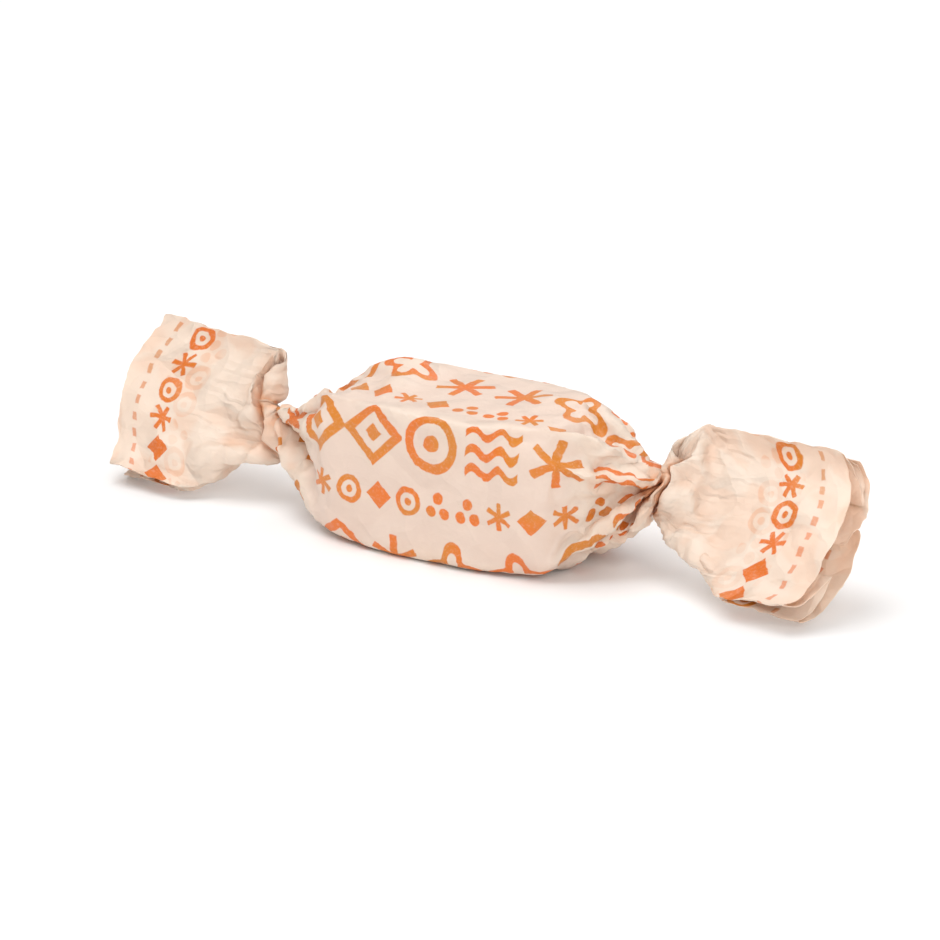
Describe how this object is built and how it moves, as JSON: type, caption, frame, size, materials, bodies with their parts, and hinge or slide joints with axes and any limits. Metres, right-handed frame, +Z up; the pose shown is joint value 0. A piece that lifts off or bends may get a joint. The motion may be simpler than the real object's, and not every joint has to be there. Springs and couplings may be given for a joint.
{
  "type": "wrapped caramel candy",
  "caption": "Brick-shaped caramel sweet shut in waxed paper, its ends twisted tight and opened out into flat paper fans.",
  "frame": {"origin": "middle of the bottom of the whole candy's box, on the surface that the candy rests on", "axes": "+X along the candy from one paper fan to the other, -Y towards its front, +Z up"},
  "size_m": [0.092, 0.0178, 0.0167],
  "materials": {
    "waxed_paper": "satin"
  },
  "bodies": {
    "root": {"wrapped_candy": "waxed_paper"}
  },
  "joints": []
}
